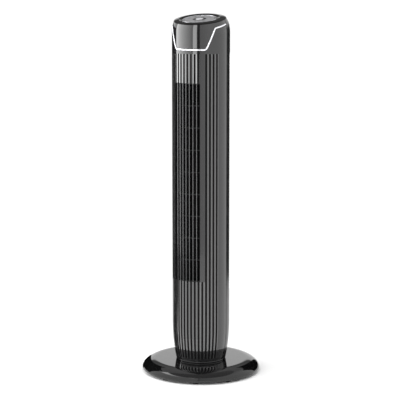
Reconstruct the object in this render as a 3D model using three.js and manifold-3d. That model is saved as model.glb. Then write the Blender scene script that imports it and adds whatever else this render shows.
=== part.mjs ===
// A 1016 mm (40 inch) oscillating tower fan: a round weighted base, a turntable, and a cylindrical tower
// with a cross-flow impeller behind a ribbed front. Millimetres, +Z up, front towards -Y, swivel axis on Z,
// floor at z = 0. Angles round the tower are in degrees, measured from the front (-Y) towards +X.
import * as THREE from "three";
import { mergeVertices } from "three/addons/utils/BufferGeometryUtils.js";
import Module from "manifold-3d";

const wasm = await Module();
wasm.setup();

// ---- Driving dimensions ----
const GAP = 0.3; // clearance between touching pieces

// Base
const FOOT = { count: 10, radius: 9, height: 4, ring: 148, firstAngle: 18 };
const BASE_R = 168; // widest point of the rim
const BASE_LIP_R = 156; // inner edge of the rim's rolled-in bottom
const BASE_TOP_Z = 35.8; // top of the cover beside the tower
const BASE_WALL = 3;
// The cover is flat out to flatR, turns down to its shoulder, and reaches the rim at rimZ
const COVER = {
  flatR: 126, bendR: 140, shoulderR: 150, shoulderZ: 31, slopeR: 159, slopeZ: 26.7, rimZ: 10.5,
};
const WELL_R = 66; // round opening in the cover, where the turntable sits
const PLATE_Z = [4, 7];
const BALLAST = { inner: 78, outer: 140, bottom: 7.3, top: 12.5 };
const GLAND = { radius: 5.5, z: 14, length: 16 };

// Turntable and its crank drive
const DISH = { floor: [14, 18], wallR: 62, wallTop: 32, bossR: 5 };
const POST_R = 8;
const POST_TOP_Z = 57;
const CRANK = { offset: 34, throw: 19.5, discR: 24, pinR: 3, slotPlay: 1.6, swingMin: 34.8 };
const BASE_SCREW = { count: 3, ring: 40, shankR: 2, headR: 4.5, bottom: 1.8, seat: 3.7, tip: 12 };
const PIVOT_NUT = { radius: 15, bottom: 50.3, top: 55 };
const CAP = { collarR: 13, collarTop: 50, skirt: [62.5, 65.6], skirtTop: 54, driveHoleR: 6.5 };
const SWING_MOTOR = { radius: 17.5, top: 60, boreR: 3.5, boreTop: 48 };

// Tower
const BODY_R = 81.5;
const TOWER_Z = 36.5; // underside of the tower
const TAPER = { top: 145, depth: 11 }; // the foot of the tower narrows by depth, from top downwards
const SHELL_Z = 40; // lower edge of the front and rear shells
const FRONT_WALL = 4.5;
const REAR_WALL = 3;
const SPLIT = 84; // angle where the front shell meets the rear housing

// Ribbed front
const RIB_PITCH = 7.5;
const GROOVES = 16;
const GROOVE = { halfMouth: 1.85, draft: 0.2, depth: 2.6, bottom: 48, top: 911, step: 0.2 };
const WINDOW = { left: -36, right: 21.6, bottom: 274, top: 830.5, bars: 8 };
const SHORT_GROOVE = 26.25; // the one groove that stops at the bottom of the window, beside it

// Head: a dome whose top is cut by a plane that slopes down towards the front
const DOME = { z: 968, rise: 50.5, shoulder: 30 };
const TOP_PLANE = { z: 1003.5, slope: 10 };
const TRIM = { z: 922.5, corner: 34, knee: 52.5, kneeZ: 981, endZ: 990.5, height: 4.2, groove: 0.9 };
const HEAD_WALL = 2.6;

// Controls, in the frame of the sloping top: a raised black ring rises from the edge of the dome to its
// crest, and the control disc lies a little lower inside it
const CONTROLS = { y: -10, z: 1.3 };
const TOP_RING = { crestR: 59, crestWidth: 2.5, crest: 4.7, edge: 1.2, footing: -8, plugInset: 7.5 };
const PANEL_R = 46;
const BEZEL_R = 48;
const CONTROL_BOARD = { radius: 40, bottom: -8.2, top: -6.6 };
const POWER_KEY_R = 10.8;
const DISPLAY_R = 18;
const KEY = { inner: 21.5, outer: 42, halfAngle: 38, gap: 0.4 };

// Rear
const REAR_WINDOW = { from: 100, to: 260, bottom: 231, top: 913, bars: 18 };
const HANDLE = { from: 156, to: 204, bottom: 929, top: 961, depth: 22, wall: 2.5 };
const HOUSING_SCREW = { angles: [122, 238], heights: [190, 926], headR: 3, shankR: 1.6, length: 14 };

// Blower
const ROTOR = { x: 0, y: 12, radius: 39, bottom: 262, top: 846, blades: 16, shaftR: 4 };
const MOTOR = { radius: 34, bottom: 190, top: 240, hub: 9 };
const SHAFT = { bottom: 227, top: 868 };
const BEARING = { radius: 11, bottom: 858, top: 866, carrierR: 15 };
const PLATE = { radius: 72.5, motor: [247, 250], bearing: [853, 856] }; // plates that close the air path
const DUCT = { wall: 2.4, bottom: 251, top: 852, clearance: 4 };
// The tongue runs from beside the window to the impeller, and back out to the side: [radius, angle]
const TONGUE = [[71, -42], [52, -43.5], [33.5, -47.3], [42, -68], [60, -86], [68, -92]];

// Electrics
const POWER_BOARD = { size: [1.6, 70, 90], at: [52, 0, 130] };
const CAPACITOR = { size: [20, 30, 38], at: [-42, -20, 130] };

// ---- Shape helpers ----
const rad = THREE.MathUtils.degToRad;
const steps = (from, to, count) =>
  Array.from({ length: count + 1 }, (_, i) => from + ((to - from) * i) / count);
const polar = (r, angle, z) => new THREE.Vector3(r * Math.sin(rad(angle)), -r * Math.cos(rad(angle)), z);

/** The same geometry with shared vertices, no empty triangles and its faces pointing out. */
function closed(geometry) {
  const bare = new THREE.BufferGeometry();
  bare.setAttribute("position", geometry.getAttribute("position"));
  bare.setIndex(geometry.getIndex());
  const merged = mergeVertices(bare, 1e-4);
  const position = merged.getAttribute("position");
  const corner = (k) => new THREE.Vector3().fromBufferAttribute(position, k);
  const index = merged.getIndex().array;
  const kept = [];
  let volume = 0;
  for (let t = 0; t < index.length; t += 3) {
    const [a, b, c] = [index[t], index[t + 1], index[t + 2]];
    if (a === b || b === c || c === a) continue;
    kept.push([a, b, c]);
    volume += corner(a).dot(corner(b).cross(corner(c)));
  }
  merged.setIndex(kept.flatMap(([a, b, c]) => (volume < 0 ? [a, c, b] : [a, b, c])));
  return merged;
}

/** A closed hoop through sections with the same number of points. */
function hoop(sections) {
  const size = sections[0].length;
  const index = [];
  for (let k = 0; k < sections.length; k++) {
    const next = (k + 1) % sections.length;
    for (let j = 0; j < size; j++) {
      const up = (j + 1) % size;
      const [a, b, c, d] = [k * size + j, next * size + j, next * size + up, k * size + up];
      index.push(a, b, c, a, c, d);
    }
  }
  const geometry = new THREE.BufferGeometry().setFromPoints(sections.flat());
  geometry.setIndex(index);
  return closed(geometry);
}

/** A solid for joining and cutting. */
function solid(geometry) {
  const mesh = closed(geometry);
  return new wasm.Manifold(
    new wasm.Mesh({
      numProp: 3,
      vertProperties: new Float32Array(mesh.getAttribute("position").array),
      triVerts: new Uint32Array(mesh.getIndex().array),
    }),
  );
}

/** The geometry of a joined or cut solid. */
function shapeOf(made) {
  const mesh = made.getMesh();
  const geometry = new THREE.BufferGeometry();
  geometry.setAttribute("position", new THREE.BufferAttribute(new Float32Array(mesh.vertProperties), 3));
  geometry.setIndex(new THREE.BufferAttribute(new Uint32Array(mesh.triVerts), 1));
  return geometry;
}

const cut = (body, ...tools) =>
  shapeOf(tools.reduce((rest, tool) => rest.subtract(solid(tool)), solid(body)));
const join = (...pieces) => shapeOf(pieces.map(solid).reduce((whole, piece) => whole.add(piece)));

/** A round body about Z from [radius, z] points that close on themselves, or start and end on the axis. */
function turned(profile, segments = 48) {
  const loop = profile[0][0] === 0 ? profile : [...profile, profile[0]];
  const points = loop.map(([r, z]) => new THREE.Vector2(r, z));
  return closed(new THREE.LatheGeometry(points, segments).rotateX(Math.PI / 2));
}

const rod = (r, bottom, top, segments = 24) =>
  turned([[0, bottom], [r, bottom], [r, top], [0, top]], segments);
const ring = (inner, outer, bottom, top, segments = 48) =>
  turned([[inner, bottom], [outer, bottom], [outer, top], [inner, top]], segments);
const block = (x, y, z) => new THREE.BoxGeometry(x, y, z);

/**
 * A curved wall made of cells. Each row gives, for an angle, the wall's outer and inner point as
 * [outer radius, outer z, inner radius, inner z]; isWall says which cells between the columns and rows
 * are there.
 */
function wall(columns, rows, isWall = () => true) {
  const corners = columns.map((angle) =>
    rows.map((row) => {
      const [outerR, outerZ, innerR, innerZ] = row(angle);
      return [polar(outerR, angle, outerZ), polar(innerR, angle, innerZ)];
    }),
  );
  const last = { column: columns.length - 2, row: rows.length - 2 };
  const filled = (i, j) => i >= 0 && j >= 0 && i <= last.column && j <= last.row && isWall(i, j);
  const position = [];
  const quad = (a, b, c, d) => [a, b, c, a, c, d].forEach((p) => position.push(p.x, p.y, p.z));
  for (let i = 0; i <= last.column; i++) {
    for (let j = 0; j <= last.row; j++) {
      if (!filled(i, j)) continue;
      const [a, innerA] = corners[i][j];
      const [b, innerB] = corners[i + 1][j];
      const [c, innerC] = corners[i + 1][j + 1];
      const [d, innerD] = corners[i][j + 1];
      quad(a, b, c, d);
      quad(innerA, innerD, innerC, innerB);
      if (!filled(i, j - 1)) quad(a, innerA, innerB, b);
      if (!filled(i, j + 1)) quad(d, c, innerC, innerD);
      if (!filled(i - 1, j)) quad(a, d, innerD, innerA);
      if (!filled(i + 1, j)) quad(b, innerB, innerC, c);
    }
  }
  const geometry = new THREE.BufferGeometry();
  geometry.setAttribute("position", new THREE.Float32BufferAttribute(position, 3));
  return closed(geometry);
}

/** A straight wall row at height z, between two radii. */
const flatRow = (z, outer, inner) => () => [outer, z, inner, z];

/** A curved slab between two angles, two heights and two radii. */
const slab = (from, to, bottom, top, inner, outer, pitch = 6) =>
  wall(steps(from, to, Math.ceil((to - from) / pitch)), [
    flatRow(bottom, outer, inner),
    flatRow(top, outer, inner),
  ]);

/** A wall of constant thickness that follows a line of [x, y] points, from bottom to top. */
function strip(points, thickness, bottom, top) {
  const line = points.map(([x, y]) => new THREE.Vector2(x, y));
  const side = (sign) =>
    line.map((p, k) => {
      const before = line[Math.max(k - 1, 0)];
      const after = line[Math.min(k + 1, line.length - 1)];
      const along = after.clone().sub(before).normalize();
      return new THREE.Vector2(p.x - along.y * sign, p.y + along.x * sign);
    });
  const outline = [...side(thickness / 2), ...side(-thickness / 2).reverse()];
  const upright = { depth: top - bottom, bevelEnabled: false };
  return closed(new THREE.ExtrudeGeometry(new THREE.Shape(outline), upright).translate(0, 0, bottom));
}

// ---- Outer form of the tower ----

/** Outer radius of the tower at height z. */
function towerRadius(z) {
  if (z > DOME.z) {
    const up = Math.min((z - DOME.z) / DOME.rise, 1);
    return BODY_R - DOME.shoulder * (1 - Math.sqrt(1 - up * up));
  }
  const down = Math.max(0, (TAPER.top - z) / (TAPER.top - TOWER_Z));
  return BODY_R - TAPER.depth * down * down;
}

/** How far the outer surface leans in at height z: the z part and the radial part of its outward normal. */
function towerNormal(z) {
  const lean = towerRadius(z + 0.01) - towerRadius(z - 0.01);
  const normal = new THREE.Vector2(0.02, -lean).normalize();
  return z > DOME.z ? normal : new THREE.Vector2(1, 0);
}

/** A wall row on the tower's outer form, sunk at the outside, at a height that may change round the tower. */
const towerRow = (thickness, height, sink = () => 0) => (angle) => {
  const z = typeof height === "function" ? height(angle) : height;
  const radius = towerRadius(z);
  const normal = towerNormal(z);
  return [radius - sink(angle), z, radius - thickness * normal.x, z - thickness * normal.y];
};

/** Height where the dome meets the sloping top at this angle. */
function domeEdge(angle) {
  const slope = Math.tan(rad(TOP_PLANE.slope)) * -Math.cos(rad(angle));
  let z = TOP_PLANE.z;
  for (let k = 0; k < 30; k++) z = (z + TOP_PLANE.z + slope * towerRadius(z)) / 2;
  return z;
}

/** Rises from 0 with slope 1 after x = 0, with a rounded corner that starts and ends at the given width. */
function ramp(x, width) {
  if (x <= -width) return 0;
  return x >= width ? x : (x + width) ** 2 / (4 * width);
}

/** Centre line of the chrome trim: level in front, steep to its knees, then gently up to the sides. */
function trimHeight(angle) {
  const leg = (TRIM.kneeZ - TRIM.z) / (TRIM.knee - TRIM.corner);
  const arm = (TRIM.endZ - TRIM.kneeZ) / (SPLIT - TRIM.knee);
  const a = Math.abs(angle);
  return TRIM.z + leg * ramp(a - TRIM.corner, 4) + (arm - leg) * ramp(a - TRIM.knee, 2.5);
}

/** Height of a line that runs beside the trim's centre line, the given distance above it. */
function besideTrim(distance) {
  const mmPerDegree = rad(BODY_R);
  return (angle) => {
    const slope = (trimHeight(angle + 0.5) - trimHeight(angle - 0.5)) / mmPerDegree;
    return trimHeight(angle) + distance * Math.hypot(1, slope);
  };
}

/** The dome's cut edge in the frame of the sloping top, as seen from the middle of the controls. */
function topOutline(count, slope) {
  const toSlope = slope.matrix.clone().invert();
  return steps(0, 360, count).slice(1).map((angle) => {
    const z = domeEdge(angle);
    const edge = polar(towerRadius(z), angle, z).applyMatrix4(toSlope);
    return new THREE.Vector2(edge.x, edge.y - CONTROLS.y);
  });
}

/** Heights between two lines, as fractions of the way from the first to the second. */
const between = (low, high, part) => (angle) => low(angle) + (high(angle) - low(angle)) * part;

// ---- Scene graph ----
const fan = new THREE.Group();
const colours = {
  gloss: { color: 0x0b0b0c, roughness: 0.12, metalness: 0 },
  rear: { color: 0x101011, roughness: 0.3, metalness: 0 },
  matte: { color: 0x1a1a1b, roughness: 0.6, metalness: 0 },
  chrome: { color: 0xd8d8da, roughness: 0.08, metalness: 1 },
  silver: { color: 0xb4b5b6, roughness: 0.3, metalness: 0.9 },
  steel: { color: 0x8d8f92, roughness: 0.4, metalness: 1 },
  nylon: { color: 0xdcdad2, roughness: 0.5, metalness: 0 },
  rubber: { color: 0x161616, roughness: 0.9, metalness: 0 },
  board: { color: 0x1d4a2c, roughness: 0.6, metalness: 0 },
};

/** Adds a named piece with its own material to a group. */
function add(name, geometry, look, parent = fan) {
  const mesh = new THREE.Mesh(geometry, new THREE.MeshStandardMaterial(colours[look]));
  mesh.name = name;
  parent.add(mesh);
  return mesh;
}

// ---- Base ----

/** Outline of the base cover, from the well to the rolled-in lip, shrunk inwards by inset. */
function coverOutline(inset, pointsPerCurve) {
  const path = new THREE.Path();
  path.moveTo(WELL_R, BASE_TOP_Z - inset);
  const { flatR, bendR, shoulderR, shoulderZ, slopeR, slopeZ, rimZ } = COVER;
  path.lineTo(flatR, BASE_TOP_Z - inset);
  path.quadraticCurveTo(bendR, BASE_TOP_Z - inset, shoulderR - inset * 0.3, shoulderZ - inset);
  path.bezierCurveTo(slopeR - inset * 0.6, slopeZ - inset, BASE_R - inset, 18, BASE_R - inset, rimZ);
  path.quadraticCurveTo(BASE_R - inset, 5 + inset * 0.8, BASE_LIP_R, PLATE_Z[0] + inset);
  return path.getPoints(pointsPerCurve).map((p) => [p.x, p.y]);
}

function base() {
  const cover = turned([...coverOutline(0, 4), ...coverOutline(BASE_WALL, 2).reverse()], 48);
  const glandHole = rod(GLAND.radius + GAP, 0, 40, 12).rotateX(-Math.PI / 2);
  glandHole.translate(0, BASE_R - 30, GLAND.z);
  add("base_cover", cut(cover, glandHole), "gloss");

  const screwAt = (tool, k) => {
    const place = polar(BASE_SCREW.ring, (360 / BASE_SCREW.count) * k, 0);
    return tool.clone().translate(place.x, place.y, 0);
  };
  const screws = Array.from({ length: BASE_SCREW.count }, (_, k) => k);
  const plate = rod(BASE_LIP_R - GAP, ...PLATE_Z, 48);
  const clearance = rod(BASE_SCREW.shankR + 0.4, 0, 20, 8);
  add("base_plate", cut(plate, ...screws.map((k) => screwAt(clearance, k))), "matte");
  add("ballast_ring", ring(BALLAST.inner, BALLAST.outer, BALLAST.bottom, BALLAST.top, 36), "steel");

  const { radius: footR, height: footHeight } = FOOT;
  const footTop = footHeight - GAP;
  const footBody = turned([[0, 0], [footR - 1, 0], [footR, 1], [footR, footTop], [0, footTop]], 12);
  for (let k = 0; k < FOOT.count; k++) {
    const foot = add(`foot_${String(k + 1).padStart(2, "0")}`, footBody.clone(), "rubber");
    foot.position.copy(polar(FOOT.ring, FOOT.firstAngle + (360 / FOOT.count) * k, 0));
  }

  const gland = turned(
    [[0, 0], [GLAND.radius, 0], [GLAND.radius - 1, GLAND.length], [3.6, GLAND.length], [3.6, 6], [0, 6]],
    12,
  );
  add("cord_gland", gland.rotateX(-Math.PI / 2).translate(0, BASE_R - GLAND.length - 0.1, GLAND.z), "rubber");

  const { shankR, headR, bottom, seat, tip } = BASE_SCREW;
  const screw = turned(
    [
      [0, bottom], [headR - 1, bottom], [headR, bottom + 1], [headR, seat], [shankR, seat], [shankR, tip],
      [0, tip],
    ],
    8,
  );
  screws.forEach((k) => add(`base_screw_${k + 1}`, screwAt(screw, k), "steel"));
  return { screws, screwAt };
}

// ---- Turntable: a dish in the base that carries the post, and the crank slot ----
function turntable({ screws, screwAt }) {
  const { floor, wallR, wallTop, bossR } = DISH;
  const plateTop = PLATE_Z[1] + GAP;
  const dish = turned(
    [
      [0, floor[0]], [wallR, floor[0]], [wallR, plateTop], [WELL_R - GAP, plateTop], [WELL_R - GAP, wallTop],
      [wallR, wallTop], [wallR, floor[1]], [POST_R, floor[1]], [POST_R, POST_TOP_Z - 1.5],
      [POST_R - 1.5, POST_TOP_Z], [0, POST_TOP_Z],
    ],
    36,
  );
  const boss = rod(bossR, plateTop, floor[0] + 1, 10);
  const bore = rod(BASE_SCREW.shankR + 0.3, 0, 13, 8);
  const slotHalf = CRANK.pinR + CRANK.slotPlay;
  const slot = new THREE.Shape();
  const slotEnds = [CRANK.swingMin - 1, CRANK.offset + CRANK.throw + 0.5];
  slot.absarc(0, slotEnds[1], slotHalf, 0, Math.PI);
  slot.absarc(0, slotEnds[0], slotHalf, Math.PI, 2 * Math.PI);
  const slotTool = new THREE.ExtrudeGeometry(slot, { depth: 20, bevelEnabled: false, curveSegments: 6 });
  slotTool.translate(0, 0, 8);
  const withBosses = join(dish, ...screws.map((k) => screwAt(boss, k)));
  add("turntable_dish", cut(withBosses, slotTool, ...screws.map((k) => screwAt(bore, k))), "matte");
  add("glide_ring", ring(wallR - 4, WELL_R - GAP, wallTop + GAP, TOWER_Z - GAP, 36), "nylon");
  const { radius, bottom, top } = PIVOT_NUT;
  add("pivot_nut", cut(rod(radius, bottom, top, 6), rod(POST_R + GAP, bottom - 5, top + 5, 24)), "steel");
}

/** The bottom of the tower turns on the post, and carries the swing motor. */
function swivelDrive() {
  const { collarR, collarTop, skirt, skirtTop, driveHoleR } = CAP;
  const capR = towerRadius(TOWER_Z);
  const capTop = SHELL_Z - GAP;
  const bore = POST_R + 0.4;
  const cap = turned(
    [
      [bore, TOWER_Z], [capR - 1, TOWER_Z], [capR, TOWER_Z + 1], [capR, capTop], [skirt[1], capTop],
      [skirt[1], skirtTop], [skirt[0], skirtTop], [skirt[0], capTop], [collarR, capTop], [collarR, collarTop],
      [bore, collarTop],
    ],
    40,
  );
  const driveHole = rod(driveHoleR, TOWER_Z - 5, SHELL_Z + 5, 12).translate(0, CRANK.offset, 0);
  add("bottom_cap", cut(cap, driveHole), "gloss");

  const { radius, top, boreR, boreTop } = SWING_MOTOR;
  const motor = turned(
    [[0, top], [radius, top], [radius, SHELL_Z], [boreR, SHELL_Z], [boreR, boreTop], [0, boreTop]],
    24,
  );
  add("swing_motor", motor, "steel").position.y = CRANK.offset;

  const disc = turned(
    [[0, 27], [CRANK.discR, 27], [CRANK.discR, 31], [6, 31], [6, 35.5], [3, 35.5], [3, 46], [0, 46]],
    24,
  );
  const pin = rod(CRANK.pinR, 12, 28, 12).translate(0, CRANK.throw, 0);
  add("crank", join(disc, pin), "nylon").position.y = CRANK.offset;
}

// ---- Front of the tower ----

const grooveCentres = Array.from({ length: GROOVES }, (_, k) => (k - (GROOVES - 1) / 2) * RIB_PITCH);

/** Angles where the ribbed front needs a column: grooves, window, the trim's corners and plain panels. */
function frontColumns() {
  const { halfMouth, draft } = GROOVE;
  const mouth = [-halfMouth, draft - halfMouth, halfMouth - draft, halfMouth];
  const edges = grooveCentres.flatMap((c) => mouth.map((offset) => c + offset));
  const bends = [TRIM.corner - 3.5, TRIM.corner + 3.5, TRIM.knee - 2, TRIM.knee + 2];
  const plain = steps(SPLIT, 61, 3);
  const right = [...bends, ...plain];
  const all = [...edges, WINDOW.left, WINDOW.right, ...right, ...right.map((a) => -a)].sort((a, b) => a - b);
  return all.filter((a, k) => k === 0 || a - all[k - 1] > 0.15);
}

/** Depth of the groove at this angle. */
function grooveDepth(angle, grooves) {
  const { halfMouth, draft, depth } = GROOVE;
  const near = grooves.some((c) => Math.abs(angle - c) < halfMouth - draft / 2);
  return near ? depth : 0;
}

function frontShell() {
  const columns = frontColumns();
  const upperGrooves = grooveCentres.filter((c) => c !== SHORT_GROOVE);
  const plain = () => 0;
  const all = (angle) => grooveDepth(angle, grooveCentres);
  const upper = (angle) => grooveDepth(angle, upperGrooves);
  const row = (height, sink) => towerRow(FRONT_WALL, height, sink);
  const grooveFoot = [GROOVE.bottom + GROOVE.step, 88, TAPER.top];
  const edge = besideTrim(-TRIM.height / 2 - TRIM.groove);
  const band = () => GROOVE.top + GROOVE.step;
  const rows = [
    row(SHELL_Z, plain),
    row(GROOVE.bottom, plain),
    ...grooveFoot.map((z) => row(z, all)),
    row(WINDOW.bottom, all),
    row(WINDOW.bottom + GROOVE.step, upper),
    row(WINDOW.top, upper),
    row(GROOVE.top, upper),
    ...[0, 0.6, 1].map((part) => row(between(band, edge, part), plain)),
  ];
  const openRow = rows.length - 6;
  const besideWindow = (angle) => angle < WINDOW.left - 0.1 || angle > WINDOW.right - 0.1;
  const isWall = (i, j) => j !== openRow || besideWindow(columns[i]);
  add("front_shell", wall(columns, rows, isWall), "gloss");
}

/** The grid in the window: a frame with level bars, and upright slats in line with the ribs. */
function outletGrid() {
  const behind = BODY_R - FRONT_WALL - GAP;
  const barPitch = (WINDOW.top - WINDOW.bottom) / (WINDOW.bars + 1);
  const slats = steps(-4, 2, 6).map((k) => RIB_PITCH * k);
  const columns = [WINDOW.left - 3, ...steps(WINDOW.left + 0.6, WINDOW.right - 0.6, 6), WINDOW.right + 3];
  const heights = [WINDOW.bottom - 7, WINDOW.bottom + 2];
  for (let k = 1; k <= WINDOW.bars; k++) {
    const middle = WINDOW.bottom + barPitch * k;
    heights.push(middle - 1.2, middle + 1.2);
  }
  heights.push(WINDOW.top - 2, WINDOW.top + 7);
  const rows = heights.map((z) => flatRow(z, behind, behind - 3));
  const frame = wall(columns, rows, (i, j) => j % 2 === 0 || i === 0 || i === columns.length - 2);
  const length = WINDOW.top - WINDOW.bottom - 2 * GAP;
  const bars = slats.map((angle) => {
    const place = polar(behind + 0.8, angle, (WINDOW.top + WINDOW.bottom) / 2);
    return block(1.9, 6.4, length).rotateZ(rad(angle)).translate(place.x, place.y, place.z);
  });
  add("outlet_grid", join(frame, ...bars), "matte");
}

/** Angles for the head's pieces, closer together at the trim's corners. */
function headColumns(limit) {
  const corner = steps(TRIM.corner - 4, TRIM.corner + 4, 3);
  const knee = steps(TRIM.knee - 2.5, TRIM.knee + 2.5, 2);
  const right = [0, 9, 18, ...corner, 44, ...knee, ...steps(64, limit, 2)];
  return [...right.slice(1).map((a) => -a).reverse(), ...right];
}

function head() {
  const columns = headColumns(SPLIT);
  const trimHalf = TRIM.height / 2;
  const panelEdge = besideTrim(trimHalf + TRIM.groove);
  const panelRows = steps(0, 1, 5).map((part) => towerRow(HEAD_WALL, between(panelEdge, domeEdge, part)));
  add("head_panel", wall(columns, panelRows), "gloss");

  const trimRow = (distance, lift) => (angle) => {
    const z = besideTrim(distance)(angle);
    const radius = towerRadius(z);
    return [radius + lift, z, radius - 4, z];
  };
  const trimRows = [trimRow(-trimHalf, 0.3), trimRow(-0.8, 1), trimRow(0.8, 1), trimRow(trimHalf, 0.3)];
  add("chrome_trim", wall(columns, trimRows), "chrome");
}

// ---- Rear of the tower ----
function rearHousing() {
  const from = SPLIT + 0.25;
  const to = 360 - from;
  const { from: left, to: right, bottom, top } = REAR_WINDOW;
  const besideHandle = [...steps(left, HANDLE.from, 4), 168, 180, 192, ...steps(HANDLE.to, right, 4)];
  const columns = [from, 92, ...besideHandle, 268, to];
  const frameTop = () => HANDLE.top;
  const rows = [
    ...[SHELL_Z, ...steps(54, TAPER.top, 3), bottom, top, HANDLE.bottom].map((z) => towerRow(REAR_WALL, z)),
    ...steps(0, 1, 4).map((part) => towerRow(REAR_WALL, between(frameTop, domeEdge, part))),
  ];
  const grilleRow = 5;
  const handleRow = 7;
  const inside = (angle, low, high) => angle > low - 0.1 && angle < high - 0.1;
  const isWall = (i, j) => {
    if (j === grilleRow) return !inside(columns[i], left, right);
    return j !== handleRow || !inside(columns[i], HANDLE.from, HANDLE.to);
  };
  const { angles, heights } = HOUSING_SCREW;
  const screwPlaces = angles.flatMap((angle) => heights.map((z) => ({ angle, z })));
  const radial = (tool, { angle, z }) =>
    tool.clone().rotateX(Math.PI / 2).rotateZ(rad(angle)).translate(0, 0, z);
  const hole = rod(HOUSING_SCREW.headR + GAP, BODY_R - 12, BODY_R + 5, 8);
  const holes = screwPlaces.map((place) => radial(hole, place));
  add("rear_housing", cut(wall(columns, rows, isWall), ...holes), "rear");

  const { headR, shankR, length } = HOUSING_SCREW;
  const seat = BODY_R - 4;
  const screw = turned(
    [
      [0, seat - length], [shankR, seat - length], [shankR, seat], [headR, seat], [headR, seat + 3],
      [0, seat + 3],
    ],
    8,
  );
  screwPlaces.forEach((place, k) => add(`housing_screw_${k + 1}`, radial(screw, place), "steel"));
}

/** The air inlet: a frame with level louvres across the back. */
function inletGrille() {
  const { from, to, bottom, top, bars } = REAR_WINDOW;
  const outer = BODY_R - 0.5;
  const pitch = (top - bottom) / bars;
  const columns = [from + 0.3, from + 4, ...steps(from + 27, to - 27, 4), to - 4, to - 0.3];
  const half = pitch * 0.34;
  const heights = [bottom + GAP, bottom + half];
  for (let k = 1; k < bars; k++) heights.push(bottom + pitch * k - half, bottom + pitch * k + half);
  heights.push(top - half, top - GAP);
  const rows = heights.map((z) => flatRow(z, outer, outer - 3));
  const centre = Math.floor((columns.length - 1) / 2);
  add(
    "inlet_grille",
    wall(columns, rows, (i, j) => j % 2 === 0 || i === 0 || i === columns.length - 2 || i === centre),
    "matte",
  );
}

/** A pocket in the back of the head that fingers reach into to carry the fan. */
function carryHandle() {
  const { from, to, bottom, top, depth, wall: thickness } = HANDLE;
  const outer = BODY_R - REAR_WALL - 3 * GAP;
  const body = slab(from - 2, to + 2, bottom - 2.5, top + 2.5, BODY_R - depth - thickness, outer);
  const hollow = slab(from + 0.4, to - 0.4, bottom + 0.3, top - 0.3, BODY_R - depth, BODY_R + 10);
  add("handle_pocket", cut(body, hollow), "matte");
}

// ---- Controls on the sloping top ----
function sectorShape(inner, outer, halfAngle) {
  const sector = new THREE.Shape();
  sector.absarc(0, 0, outer, -rad(halfAngle), rad(halfAngle), false);
  sector.absarc(0, 0, inner, rad(halfAngle), -rad(halfAngle), true);
  return sector;
}

function controls() {
  const slope = new THREE.Group();
  slope.position.z = TOP_PLANE.z;
  slope.rotation.x = rad(TOP_PLANE.slope);
  slope.updateMatrix();
  const top = new THREE.Group();
  top.position.set(0, CONTROLS.y, CONTROLS.z);
  slope.add(top);
  fan.add(slope);

  // The black ring caps the cut edges of the shells from just above, and plugs into them.
  const { crestR, crestWidth, crest, edge, footing, plugInset } = TOP_RING;
  const well = BEZEL_R + 2 * GAP;
  const sections = topOutline(48, slope).map((toEdge) => {
    const reach = toEdge.length();
    const profile = [
      [reach - GAP, GAP], [reach - GAP, edge], [crestR, crest], [crestR - crestWidth, crest],
      [well, CONTROLS.z + 0.6], [well, footing], [reach - plugInset, footing], [reach - plugInset, GAP],
    ];
    const out = toEdge.clone().normalize();
    return profile.map(([r, z]) => new THREE.Vector3(out.x * r, out.y * r, z));
  });
  const topRing = add("top_ring", hoop(sections), "gloss", slope);
  topRing.position.y = CONTROLS.y;

  const bezelInner = PANEL_R + GAP;
  const bezel = turned(
    [
      [bezelInner, -4], [BEZEL_R, -4], [BEZEL_R, 0.8], [BEZEL_R - 0.6, 1.5], [bezelInner + 0.6, 1.5],
      [bezelInner, 0.9],
    ],
    36,
  );
  add("control_bezel", bezel, "chrome", top);

  const keyHole = new THREE.ExtrudeGeometry(sectorShape(KEY.inner, KEY.outer, KEY.halfAngle), {
    depth: 12,
    bevelEnabled: false,
    curveSegments: 5,
  }).translate(0, 0, -8);
  const quarter = [0, 90, 180, 270];
  const disc = ring(DISPLAY_R + GAP, PANEL_R, -2.5, 0.8, 36);
  add("control_panel", cut(disc, ...quarter.map((a) => keyHole.clone().rotateZ(rad(a)))), "silver", top);
  add("display_ring", ring(POWER_KEY_R + 0.4, DISPLAY_R, -2.5, 0.9, 24), "gloss", top);

  const power = turned(
    [[0, -3], [POWER_KEY_R, -3], [POWER_KEY_R, 0.9], [POWER_KEY_R - 0.8, 1.5], [0, 1.5]],
    24,
  );
  add("power_key", power, "silver", top);

  const keySector = sectorShape(KEY.inner + KEY.gap, KEY.outer - KEY.gap, KEY.halfAngle - 0.8);
  const key = new THREE.ExtrudeGeometry(keySector, { depth: 3.2, bevelEnabled: false, curveSegments: 4 });
  key.translate(0, 0, -2.2);
  ["timer_key", "swing_key", "speed_key", "mode_key"].forEach((name, k) => {
    add(name, closed(key.clone().rotateZ(rad(quarter[k]))), "silver", top);
  });
  const { radius, bottom, top: boardTop } = CONTROL_BOARD;
  add("control_board", rod(radius, bottom, boardTop, 24), "board", top);
}

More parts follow.
